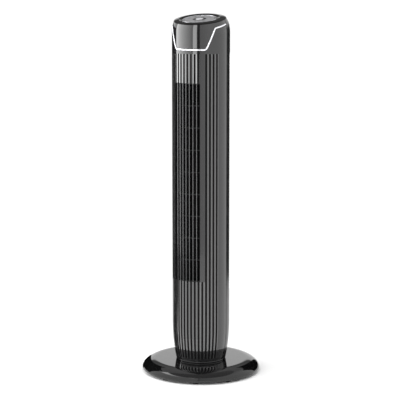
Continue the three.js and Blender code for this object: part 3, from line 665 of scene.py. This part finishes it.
def front_shell():
    section = [offset for offset, _ in GROOVE_SECTION]
    edges = [c + side * offset for c in GROOVES for offset in section for side in (-1, 1)]
    ribs = [c + side * offset for c in GROOVES for offset in (2.7, RIB_PITCH / 2) for side in (-1, 1)]
    bends = [side * a for a in steps(TRIM["corner"] - 5, TRIM["knee"] + 4, 16) for side in (-1, 1)]
    plain = [side * a for a in [*steps(61, SPLIT - 0.3, 14), SPLIT - 0.1, SPLIT] for side in (-1, 1)]
    columns = spaced([*edges, *ribs, *bends, *plain, WINDOW["left"], WINDOW["right"]])
    upper = [c for c in GROOVES if c != SHORT_GROOVE]
    cut = beside_trim(-TRIM["half"] - TRIM["groove"])

    def rim(angle):
        """The side edges are rounded."""
        return max(0, 0.4 - (SPLIT - abs(angle)) * 1.4) if abs(angle) > SPLIT - 0.3 else 0

    def row(height, share=0.0, grooves=upper, rounding=0.0):
        return tower_row(FRONT_WALL, height, lambda a: groove_depth(a, grooves) * share + rim(a) + rounding)

    rows = [row(SHELL_Z, rounding=0.6), row(SHELL_Z + 0.2, rounding=0.2), row(SHELL_Z + 0.7)]
    rows += [row(GROOVE_BOTTOM - 1), row(GROOVE_BOTTOM)]
    rows += [row(GROOVE_BOTTOM + 0.8, 0.7, GROOVES), row(GROOVE_BOTTOM + 1.4, 1, GROOVES)]
    rows += [row(z, 1, GROOVES) for z in steps(60, TAPER_TOP, 9)]
    rows += [row(WINDOW["bottom"] - 1.4, 1, GROOVES), row(WINDOW["bottom"], 1)]
    window_row = len(rows) - 1
    rows += [row(WINDOW["top"], 1), row(GROOVE_TOP - 1.4, 1), row(GROOVE_TOP - 0.8, 0.7), row(GROOVE_TOP)]
    band = GROOVE_TOP + 1
    last = steps(0, 1, 9)
    rows += [row(between(lambda a: band, cut, part)) for part in last[:-1]]
    rows += [row(between(lambda a: band, cut, 0.985)), row(cut, rounding=0.35)]

    def is_wall(i, j):
        return j != window_row or not WINDOW["left"] - 0.01 < columns[i] < WINDOW["right"] - 0.01

    shell = mesh_object("front_shell_fine", *wall(columns, rows, is_wall), smooth_angle=40)
    piece(shell, "tower", GLOSS, ["front_shell"])
    # Material slots: 0 the plain panels, 1 the grooves below their lips (painted shade), 2 the ribs (painted
    # highlight: they reflect more than the panels).
    shell.data.materials.append(GROOVE_PAINTED_SHADE)
    shell.data.materials.append(RIB_PAINTED_HIGHLIGHT)
    lip_depth = GROOVE_DEPTH * 0.12
    outermost = GROOVES[-1] + RIB_PITCH / 2
    for polygon in shell.data.polygons:
        middle = polygon.center / MM
        under = tower_radius(middle.z) - math.hypot(middle.x, middle.y)
        angle = math.degrees(math.atan2(middle.x, -middle.y))
        ribbed = abs(angle) < outermost and GROOVE_BOTTOM < middle.z < GROOVE_TOP
        ribbed = ribbed and not (abs(angle - SHORT_GROOVE) < RIB_PITCH - 1.9 and middle.z > WINDOW["bottom"])
        polygon.material_index = 1 if under > lip_depth else 2 * ribbed


def outlet_grid():
    """Upright slats in line with the ribs, level bars behind them, and the frame that holds both."""
    inner = BODY_R - FRONT_WALL - 3.3
    outer = BODY_R - FRONT_WALL - 0.3
    left, right = WINDOW["left"] - 3, WINDOW["right"] + 3
    pitch = (WINDOW["top"] - WINDOW["bottom"]) / (WINDOW["bars"] + 1)

    def arc_bar(bottom, top, from_angle, to_angle, r_in, r_out):
        section = rounded([(r_out, bottom), (r_out, top), (r_in, top), (r_in, bottom)], 0.7, 3)
        angles = steps(from_angle, to_angle, 24)
        verts = [polar(r, a, z) for a in angles for r, z in section]
        n = len(section)
        faces = [
            (k * n + j, (k + 1) * n + j, (k + 1) * n + (j + 1) % n, k * n + (j + 1) % n)
            for k in range(len(angles) - 1)
            for j in range(n)
        ]
        faces += [tuple(reversed(range(n))), tuple(range((len(angles) - 1) * n, len(angles) * n))]
        return verts, [tuple(reversed(face)) for face in faces]

    bars = [
        arc_bar(z - 1.2, z + 1.2, left + 1, right - 1, inner, outer)
        for z in (WINDOW["bottom"] + pitch * k for k in range(1, WINDOW["bars"] + 1))
    ]
    rails = [arc_bar(z, z + 9, left, right, inner, outer) for z in (WINDOW["bottom"] - 7, WINDOW["top"] - 2)]
    posts = [
        arc_bar(WINDOW["bottom"] - 7, WINDOW["top"] + 7, a, a + 3.4, inner, outer)
        for a in (left, right - 3.4)
    ]
    slats = []
    for k in range(-4, 3):
        section = rounded([(-1, -3.4), (1, -3.4), (0.75, 3.2), (-0.75, 3.2)], 0.6, 4)
        spin = Matrix.Rotation(math.radians(RIB_PITCH * k), 4, "Z") @ Matrix.Translation((0, -outer - 0.6, 0))
        slats.append(moved(prism(section, WINDOW["bottom"] + 0.4, WINDOW["top"] - 0.4), spin))
    holder = mesh_object("outlet_frame", *joined(*bars, *rails, *posts))
    piece(holder, "tower", MATTE, ["outlet_grid"])
    piece(mesh_object("outlet_slats", *joined(*slats)), "tower", GRID)


def head_angles():
    half = [*steps(0, TRIM["corner"] - 6, 12), *steps(TRIM["corner"] - 5, TRIM["corner"] + 5, 14)]
    half += [*steps(TRIM["corner"] + 6, TRIM["knee"] - 5, 6), *steps(TRIM["knee"] - 4, TRIM["knee"] + 4, 12)]
    half += [*steps(TRIM["knee"] + 5, SPLIT - 0.4, 12), SPLIT - 0.15, SPLIT]
    return spaced([*[-a for a in half], *half])


def rim_row(thickness):
    """The last row of a shell wall: it lies flat in the sloping top, so that the rim looks cut."""
    def row(angle):
        z = dome_edge(angle)
        slope = math.tan(math.radians(TOP_SLOPE)) * math.cos(math.radians(angle))
        return tower_radius(z), z, tower_radius(z) - thickness, z + thickness * slope
    return row


def head_panel():
    edge = beside_trim(TRIM["half"] + TRIM["groove"])

    def side(angle):
        return 0.35 if abs(angle) > SPLIT - 0.1 else 0

    def top_edge(angle):
        return dome_edge(angle, 1.2)

    rows = [tower_row(HEAD_WALL, edge, 0.35), tower_row(HEAD_WALL, between(edge, top_edge, 0.012), side)]
    rows += [tower_row(HEAD_WALL, between(edge, top_edge, part), side) for part in steps(0.06, 1, 18)]
    rows += [rim_row(HEAD_WALL)]
    panel = mesh_object("head_panel_fine", *wall(head_angles(), rows))
    piece(panel, "tower", GLOSS, ["head_panel"])


def chrome_trim():
    """A half-round bright strip."""
    def row(share, lift):
        def at(angle):
            z = beside_trim(TRIM["half"] * share)(angle)
            r = tower_radius(z)
            return r + lift, z, r - 4, z
        return at

    across = [(-1, -0.4), (-0.97, 0.1), (-0.85, 0.5), (-0.6, 0.8), (-0.3, 0.96), (0, 1)]
    across += [(-share, lift) for share, lift in reversed(across[:-1])]
    rows = [row(*point) for point in across]
    trim = mesh_object("chrome_trim_fine", *wall(head_angles(), rows), smooth_angle=60)
    piece(trim, "tower", TRIM_CHROME, ["chrome_trim"])


# ---- Rear of the tower ----
def rear_housing():
    start = SPLIT + 0.25
    window_from, window_to = REAR_WINDOW["from"], REAR_WINDOW["to"]
    columns = spaced([
        start, start + 0.12, start + 0.4, *steps(88, 272, 92), window_from, window_to, HANDLE["from"],
        HANDLE["to"], 360 - start - 0.4, 360 - start - 0.12, 360 - start,
    ])

    def rim(angle):
        return 0.35 if min(angle - start, 360 - start - angle) < 0.05 else 0

    def top_edge(angle):
        return dome_edge(angle, 1.2)

    rows = [tower_row(REAR_WALL, SHELL_Z, 0.5), tower_row(REAR_WALL, SHELL_Z + 0.6, rim)]
    rows += [tower_row(REAR_WALL, z, rim) for z in steps(50, TAPER_TOP, 10)]
    rows += [tower_row(REAR_WALL, REAR_WINDOW["bottom"], rim), tower_row(REAR_WALL, REAR_WINDOW["top"], rim)]
    grille_row = len(rows) - 2
    rows += [tower_row(REAR_WALL, HANDLE["bottom"], rim), tower_row(REAR_WALL, HANDLE["top"], rim)]
    handle_row = len(rows) - 2
    above = HANDLE["top"] + 4
    rows += [tower_row(REAR_WALL, between(lambda a: above, top_edge, part), rim) for part in steps(0, 1, 16)]
    rows += [rim_row(REAR_WALL)]

    def is_wall(i, j):
        angle = columns[i]
        if j == grille_row:
            return not window_from - 0.01 < angle < window_to - 0.01
        return j != handle_row or not HANDLE["from"] - 0.01 < angle < HANDLE["to"] - 0.01

    housing = mesh_object("rear_housing_fine", *wall(columns, rows, is_wall))
    for k in range(1, 5):
        drill_hole(housing, f"housing_screw_{k}")
    piece(housing, "tower", REAR, ["rear_housing"])


def radial_matrix(node):
    """Places a shape made along +Z at a screw node, pointing outwards from the tower's axis."""
    middle = centre(node)
    angle = math.degrees(math.atan2(middle.x, -middle.y))
    return upright(Matrix.Translation((0, 0, middle.z)) @ Matrix.Rotation(math.radians(angle), 4, "Z"), 90)


def drill_hole(target, node):
    """Cuts a screw's stepped hole into a shell."""
    start, flare, outside = 60, 80.9, 82
    shape = turned([(0, start), (3.3, start), (3.3, flare), (3.9, outside), (0, outside)], 32)
    cut_out(target, mesh_object("hole_" + node, *moved(shape, radial_matrix(node))))


def inlet_grille():
    """Fine level louvres across the back, held by upright ribs and a frame."""
    outer = BODY_R - 0.4
    bottom, top = REAR_WINDOW["bottom"] + 0.3, REAR_WINDOW["top"] - 0.3
    start, stop = REAR_WINDOW["from"] + 0.3, REAR_WINDOW["to"] - 0.3
    angles = steps(start, stop, 56)
    n_louvres = round((top - bottom) / REAR_WINDOW["pitch"])
    pitch = (top - bottom) / n_louvres
    section = [(0, 0), (0, 1.5), (-0.35, 2.0), (-3.6, 4.6), (-3.6, 3.2), (-0.9, 0.9), (-0.6, 0)]
    section = [(outer + r, z) for r, z in section]
    n = len(section)
    shapes = []
    for k in range(n_louvres - 1):
        z0 = bottom + pitch * (k + 0.75)
        verts = [polar(r, a, z + z0) for a in angles for r, z in section]
        faces = [
            (i * n + j, i * n + (j + 1) % n, (i + 1) * n + (j + 1) % n, (i + 1) * n + j)
            for i in range(len(angles) - 1)
            for j in range(n)
        ]
        faces += [tuple(range(n)), tuple(reversed(range((len(angles) - 1) * n, len(angles) * n)))]
        shapes.append((verts, [tuple(reversed(face)) for face in faces]))

    def slab(from_angle, to_angle, z_low, z_high, r_in, r_out):
        count = max(2, round((to_angle - from_angle) / 3))
        rows = [lambda a, z=z: (r_out, z, r_in, z) for z in (z_low, z_high)]
        return wall(steps(from_angle, to_angle, count), rows)

    rib_angles = (126.7, 153.3, 180, 206.7, 233.3)
    shapes += [slab(start, stop, z, z + 5, outer - 3.5, outer) for z in (bottom, top - 5)]
    shapes += [slab(a, a + 2.6, bottom, top, outer - 4.2, outer) for a in (start, stop - 2.6)]
    shapes += [slab(a - 0.8, a + 0.8, bottom, top, outer - 5, outer - 0.5) for a in rib_angles]
    grille = mesh_object("inlet_grille_fine", *joined(*shapes))
    piece(grille, "tower", REAR, ["inlet_grille"])


# ---- Base ----
def base_cover():
    """A shallow round cover: a slightly domed top, a rolled rim and a lip turned in underneath."""
    def bezier(points, count):
        curve = []
        for t in steps(0, 1, count):
            layer = [Vector(p) for p in points]
            while len(layer) > 1:
                layer = [a.lerp(b, t) for a, b in zip(layer, layer[1:])]
            curve.append(tuple(layer[0]))
        return curve

    well, lip, lip_z = 66, 156, 4
    flat_r, bend_r = 126, 140
    shoulder_r, shoulder_z = 150, 31
    roll_r, roll_z, roll_end = 159, 26.7, 18
    belt_z = 10.5
    thickness = 3

    def outline(inset, count):
        edge = BASE_R - inset
        top_z = BASE_TOP_Z - inset
        turn = (shoulder_r - inset * 0.3, shoulder_z - inset)
        top = bezier([(flat_r, top_z), (bend_r, top_z), turn], count)
        roll = (roll_r - inset * 0.6, roll_z - inset)
        shoulder = bezier([turn, roll, (edge, roll_end), (edge, belt_z)], count)
        under = bezier([(edge, belt_z), (edge, 5 + inset * 0.8), (lip, lip_z + inset)], count)
        return [(well, top_z), (well + 0.6, top_z), *top, *shoulder[1:], *under[1:]]

    profile = [*reversed(outline(0, 20)), *outline(thickness, 8)]
    cover = mesh_object("base_cover_fine", *turned(profile, 224), smooth_angle=50)
    gland = centre("cord_gland")
    hole = turned([(0, -30), (5.9, -30), (5.9, 40), (0, 40)], 32)
    place = upright(Matrix.Translation((0, BASE_R - 10, gland.z)), -90)
    cut_out(cover, mesh_object("gland_hole", *moved(hole, place)))
    piece(cover, "base", BASE_GLOSS, ["base_cover"])


def feet():
    for k in range(1, 11):
        node = f"foot_{k:02d}"
        spot = centre(node)
        profile = [(0, 0.5), (3, 0.4), (5.2, 0), (7.6, 0), (8.5, 0.35), (9, 1.2), (9, 3.7), (0, 3.7)]
        shape = moved(turned(profile, 48), Matrix.Translation((spot.x, spot.y, 0)))
        piece(mesh_object(node + "_pad", *shape), "base", RUBBER, [node])


def base_parts():
    gland = [(0, 0), (5.5, 0), (5.5, 9), (5.0, 9.6), (5.0, 10.6), (5.3, 11.2), (5.0, 11.8), (5.0, 12.8),
             (5.3, 13.4), (5.0, 14), (4.6, 15.9), (3.9, 16), (3.6, 15.7), (3.5, 6), (0, 6)]
    spot = low("cord_gland")
    place = upright(Matrix.Translation((0, spot.y, centre("cord_gland").z)), -90)
    sleeve = mesh_object("cord_gland_fine", *moved(turned(gland, 48), place))
    piece(sleeve, "base", RUBBER, ["cord_gland"])

    top = high("bottom_cap").z
    r = high("bottom_cap").x
    seam = SHELL_Z - 0.3
    collar_out, collar_in = 65.6, 62.5
    hub_out, hub_in, hub_top = 13, 8.4, 50
    corners = [(hub_in, TOWER_Z), (r, TOWER_Z), (r, seam), (collar_out, seam), (collar_out, top)]
    corners += [(collar_in, top), (collar_in, seam), (hub_out, seam), (hub_out, hub_top), (hub_in, hub_top)]
    cap = turned(rounded(corners, 0.9, 4), 160)
    piece(mesh_object("bottom_cap_fine", *cap), "tower", GLOSS, ["bottom_cap"])


def phillips_screw(name, head_r, head_h, shank_r, length):
    """A pan-head screw along +Z, head up, with a cross recess."""
    profile = [(0, -length), (shank_r * 0.6, -length), (shank_r, -length + 1), (shank_r, 0), (head_r, 0)]
    profile += [(head_r, head_h * 0.4), (head_r * 0.85, head_h * 0.8), (head_r * 0.5, head_h), (0, head_h)]
    body = mesh_object(name, *turned(profile, 40))
    for quarter in (0, 90):
        arm, half = head_r * 0.62, head_r * 0.12
        outline = [(-arm, -half), (arm, -half), (arm, half), (-arm, half)]
        spin = Matrix.Rotation(math.radians(quarter + 20), 4, "Z")
        cut_out(body, mesh_object("recess", *moved(prism(outline, head_h * 0.35, head_h + 1), spin)))
    return body


def screws():
    housing_seat, base_seat = 77.7, 3.7
    to_metres, to_mm = Matrix.Scale(MM, 4), Matrix.Scale(1 / MM, 4)
    for k in range(1, 5):
        node = f"housing_screw_{k}"
        screw = phillips_screw(node + "_fine", 3, 2.6, 1.6, 13)
        seat = Matrix.Translation((0, 0, housing_seat))
        screw.data.transform(to_metres @ radial_matrix(node) @ seat @ to_mm)
        piece(screw, "tower", STEEL, [node])
    for k in range(1, 4):
        node = f"base_screw_{k}"
        spot = centre(node)
        screw = phillips_screw(node + "_fine", 4.5, 1.8, 2, 8)
        flip = upright(Matrix.Translation((spot.x, spot.y, base_seat)), 180)
        screw.data.transform(to_metres @ flip @ to_mm)
        piece(screw, "base", STEEL, [node])


# ---- Controls ----
def sector(inner, outer, half_angle, middle):
    """An anticlockwise ring sector outline round the disc's centre."""
    start, stop = middle - half_angle, middle + half_angle
    return [*arc_points(outer, start, stop, 16), *arc_points(inner, stop, start, 16)]


def top_ring():
    """The black surround: it rises from the shells' cut edge to a rounded crest, and falls to the disc."""
    count = 160
    inverse = SLOPE.inverted()
    middle = Vector((0, CONTROLS_Y, 0))
    verts = []
    for k in range(count):
        angle = 360 * k / count
        z = dome_edge(angle)
        edge = (inverse @ polar(tower_radius(z), angle, z)).to_2d().to_3d() - middle
        out, reach = edge.normalized(), edge.length - 0.3
        outer, inner, height = CREST["outer"], CREST["inner"], CREST["height"]
        foot = (reach - 0.5, 1.6)
        rise = [(foot[0] + (outer - foot[0]) * t, foot[1] + (height - 0.4 - foot[1]) * t + 1.2 * t * (1 - t))
                for t in steps(0, 1, 6)]
        profile = [(reach, 0.35), (reach, 1.0), (reach - 0.15, 1.35), *rise]
        profile += [(outer - 0.9, height - 0.1), ((outer + inner) / 2, height), (inner + 0.5, height - 0.15)]
        profile += [(inner, height - 0.5), (BEZEL_R + 1.3, 2.5), (BEZEL_R + 0.8, 2.1), (BEZEL_R + 0.6, 1.5)]
        profile += [(BEZEL_R + 0.6, -6), (reach - 7.5, -6), (reach - 7.5, 0.35)]
        verts += [SLOPE @ (middle + out * r + Vector((0, 0, h))) for r, h in profile]
        n = len(profile)
    faces = [
        (k * n + j, (k + 1) % count * n + j, (k + 1) % count * n + (j + 1) % n, k * n + (j + 1) % n)
        for k in range(count)
        for j in range(n)
    ]
    ring = mesh_object("top_ring_fine", verts, faces, smooth_angle=50)
    piece(ring, "tower", RING_BLACK, ["top_ring"])


def stroke(points, width, closed=False):
    """Outline pieces of a drawn line: one flat quad for each step, with a round dot at each joint."""
    shapes = []
    pairs = list(zip(points, points[1:] + points[:1] if closed else points[1:]))
    for a, b in pairs:
        along = (Vector(b) - Vector(a)).normalized()
        side = Vector((-along.y, along.x)) * width / 2
        quad = [Vector(a) - side, Vector(b) - side, Vector(b) + side, Vector(a) + side]
        shapes.append([(p.x, p.y) for p in quad])
    for p in points:
        shapes.append([(p[0] + width / 2 * math.cos(t), p[1] + width / 2 * math.sin(t))
                       for t in steps(0, 2 * math.pi, 10)[:-1]])
    return shapes


def arc_points(r, start, stop, count=14):
    return [on_circle(r, a) for a in steps(start, stop, count)]


ICONS = {
    "power_key": stroke(arc_points(3.4, 125, 415), 0.75) + stroke([(0, 1.6), (0, 4.4)], 0.75),
    "timer_key": stroke(arc_points(3, 0, 345, 20), 0.55, True) + stroke([(0, 1.8), (0, 0), (1.3, -0.6)], 0.5),
    "swing_key": stroke(arc_points(3.4, 205, 335), 0.55)
    + stroke([(-3.9, -0.2), (-3.1, -1.6), (-1.9, -0.6)], 0.5)
    + stroke([(3.9, -0.2), (3.1, -1.6), (1.9, -0.6)], 0.5) + stroke([(0, 2.6), (0, -1.2)], 0.9),
    "speed_key": [quad for x, top in ((-2.8, -0.8), (0, 0.8), (2.8, 2.6))
                  for quad in stroke([(x, -2.2), (x, top)], 1)],
    "mode_key": [quad for y in (-1.8, 0, 1.8)
                 for quad in stroke([(x, y + 0.6 * math.sin(x * 1.6)) for x in steps(-3.4, 3.4, 12)], 0.5)],
}


def print_icon(name, at, top, body):
    """A thin printed icon on top of a key. It stands upright for a user in front."""
    outlines = [[(x + at[0], y + at[1]) for x, y in outline] for outline in ICONS[name]]
    shapes = [prism(outline, top - 0.05, top + 0.06) for outline in outlines]
    icon = mesh_object(name + "_icon", *moved(joined(*shapes), TOP_FRAME))
    piece(icon, body, PRINT)


def controls():
    bezel = [(PANEL_R + 0.3, -4), (BEZEL_R, -4), (BEZEL_R, 0.5), (BEZEL_R - 0.25, 1.1), (BEZEL_R - 0.8, 1.4),
             (PANEL_R + 0.8, 1.3), (PANEL_R + 0.4, 0.9), (PANEL_R + 0.3, 0.4)]
    ring = mesh_object("control_bezel_fine", *moved(turned(bezel, 128), TOP_FRAME), smooth_angle=50)
    piece(ring, "tower", CHROME, ["control_bezel"])

    # The disc between the keys: an outer band, an inner band and four spokes.
    bands = [(42, PANEL_R), (DISPLAY_R + 0.3, 21.5)]
    shapes = []
    for inner, outer in bands:
        section = rounded([(inner, -2.5), (outer, -2.5), (outer, 0.8), (inner, 0.8)], 0.3, 3)
        shapes.append(turned(section, 128))
    for middle in (45, 135, 225, 315):
        shapes.append(prism(sector(21.4, 42.1, 7, middle), -2.4, 0.8))
    disc = mesh_object("control_panel_fine", *moved(joined(*shapes), TOP_FRAME))
    piece(disc, "tower", PANEL_SILVER, ["control_panel"])

    bore = POWER_R + 0.4
    display = rounded([(bore, -2.5), (DISPLAY_R, -2.5), (DISPLAY_R, 0.9), (bore, 0.9)], 0.35, 3)
    lens = mesh_object("display_ring_fine", *moved(turned(display, 96), TOP_FRAME))
    piece(lens, "tower", LENS, ["display_ring"])
    lamp_ring, icon_ring = 14.6, 31.5
    lamp = [(0, 0.8), (0.8, 0.8), (0.8, 0.95), (0.5, 1.05), (0, 1.1)]
    spots = [on_circle(lamp_ring, 30 * k + 15) for k in range(12)]
    lamps = [moved(turned(lamp, 16), Matrix.Translation((x, y, 0))) for x, y in spots]
    piece(mesh_object("indicator_lamps", *moved(joined(*lamps), TOP_FRAME)), "tower", LAMP)

    key_top, power_top = 1.0, 1.24
    power = [(0, -3), (POWER_R, -3), (POWER_R, 0.7), (POWER_R - 0.2, 1.15), (POWER_R - 0.7, 1.45)]
    power += [(POWER_R - 2.5, 1.5), (0, 1.2)]
    button = mesh_object("power_key_fine", *moved(turned(power, 96), TOP_FRAME), smooth_angle=50)
    piece(button, "power_key", KEY_SILVER, ["power_key"])
    print_icon("power_key", (0, 0), power_top, "power_key")

    keys = [("timer_key", 0), ("swing_key", 90), ("speed_key", 180), ("mode_key", 270)]
    for name, middle in keys:
        outline = sector(KEY_INNER, KEY_OUTER, KEY_HALF_ANGLE, middle)
        key = mesh_object(name + "_fine", *moved(prism(rounded(outline, 0.8, 2), -2.2, key_top), TOP_FRAME))
        bevel(key, 0.35, 3)
        piece(key, name, SILVER, [name])
        print_icon(name, on_circle(icon_ring, middle), key_top, name)


# ---- Blower, seen between the slats and louvres ----
def impeller():
    axis = centre("impeller")
    radius = high("impeller").x - axis.x
    bottom, top = low("impeller").z, high("impeller").z
    bays, blades = 8, 32
    shapes = [
        turned([(4.3, z), (radius, z), (radius, z + 2), (4.3, z + 2)] if end else
               [(radius - 11, z), (radius - 0.3, z), (radius - 0.3, z + 2), (radius - 11, z + 2)], 96)
        for z, end in ((bottom + (top - bottom - 2) * k / bays, k in (0, bays)) for k in range(bays + 1))
    ]
    for k in range(blades):
        outer = arc_points(8.6, -40, 40, 8)
        inner = [(x * 0.88 + 0.4, y) for x, y in arc_points(8.6, 40, -40, 8)]
        place = Matrix.Rotation(2 * math.pi * k / blades, 4, "Z") @ Matrix.Translation((radius - 10, -4, 0))
        place = place @ Matrix.Rotation(math.radians(60), 4, "Z")
        shapes.append(moved(prism([*outer, *inner], bottom + 1, top - 1), place))
    place = Matrix.Translation((axis.x, axis.y, 0))
    wheel = mesh_object("impeller_fine", *moved(joined(*shapes), place))
    # The impeller takes the painted shade of the tower's inside.
    piece(wheel, "rotor", INSIDE_PAINTED_SHADE, ["impeller"])


def handle_pocket():
    """The carry-handle pocket keeps its CAD shape, with a rounded mouth frame round it."""
    start, stop, bottom, top = HANDLE["from"], HANDLE["to"], HANDLE["bottom"], HANDLE["top"]
    angles = [start + 0.4, *steps(start + 1.5, stop - 1.5, 20), stop - 0.4]
    outer = BODY_R - 0.2
    section = [(bottom + 0.3, outer - 0.4), (bottom + 0.8, outer), (bottom + 1.6, outer - 0.3)]
    section += [(top - 1.6, outer - 0.3), (top - 0.8, outer), (top - 0.3, outer - 0.4)]
    rows = [lambda a, z=z, r=r: (r, z, BODY_R - 3.2, z) for z, r in section]

    def is_wall(i, j):
        return j != 2 or i in (0, len(angles) - 2)
    mouth = mesh_object("handle_mouth", *wall(angles, rows, is_wall))
    piece(mouth, "tower", MATTE)


# ---- CAD nodes that keep their shape: material, and width of the rounded edges ----
KEPT = {
    "base_plate": (MATTE, 0.8), "ballast_ring": (STEEL, 0.8), "turntable_dish": (MATTE, 0.4),
    "glide_ring": (NYLON, 0.4), "pivot_nut": (STEEL, 0.5), "swing_motor": (STEEL, 0.8), "crank": (NYLON, 0.3),
    "handle_pocket": (MATTE, 0.6), "control_board": (BOARD, 0.2), "blower_motor": (STEEL, 0.6),
    # The plates and ducts inside the tower take the painted shade of the blower's inside.
    "upper_bearing": (STEEL, 0.4), "motor_plate": (INSIDE_PAINTED_SHADE, 0.5), "bearing_plate": (INSIDE_PAINTED_SHADE, 0.5),
    "duct_scroll": (INSIDE_PAINTED_SHADE, 0.4), "duct_tongue": (INSIDE_PAINTED_SHADE, 0.4),
    "run_capacitor": (REAR, 1.5), "power_board": (BOARD, 0.2), "impeller_shaft": (STEEL, 0.3),
}


def dress_kept_nodes():
    for node, (material, width) in KEPT.items():
        obj = NODES[node]
        obj.data.materials.clear()
        obj.data.materials.append(material)
        bevel(obj, width)


camera()
studio()
front_shell()
outlet_grid()
head_panel()
chrome_trim()
rear_housing()
inlet_grille()
base_cover()
feet()
base_parts()
screws()
top_ring()
controls()
impeller()
handle_pocket()
dress_kept_nodes()
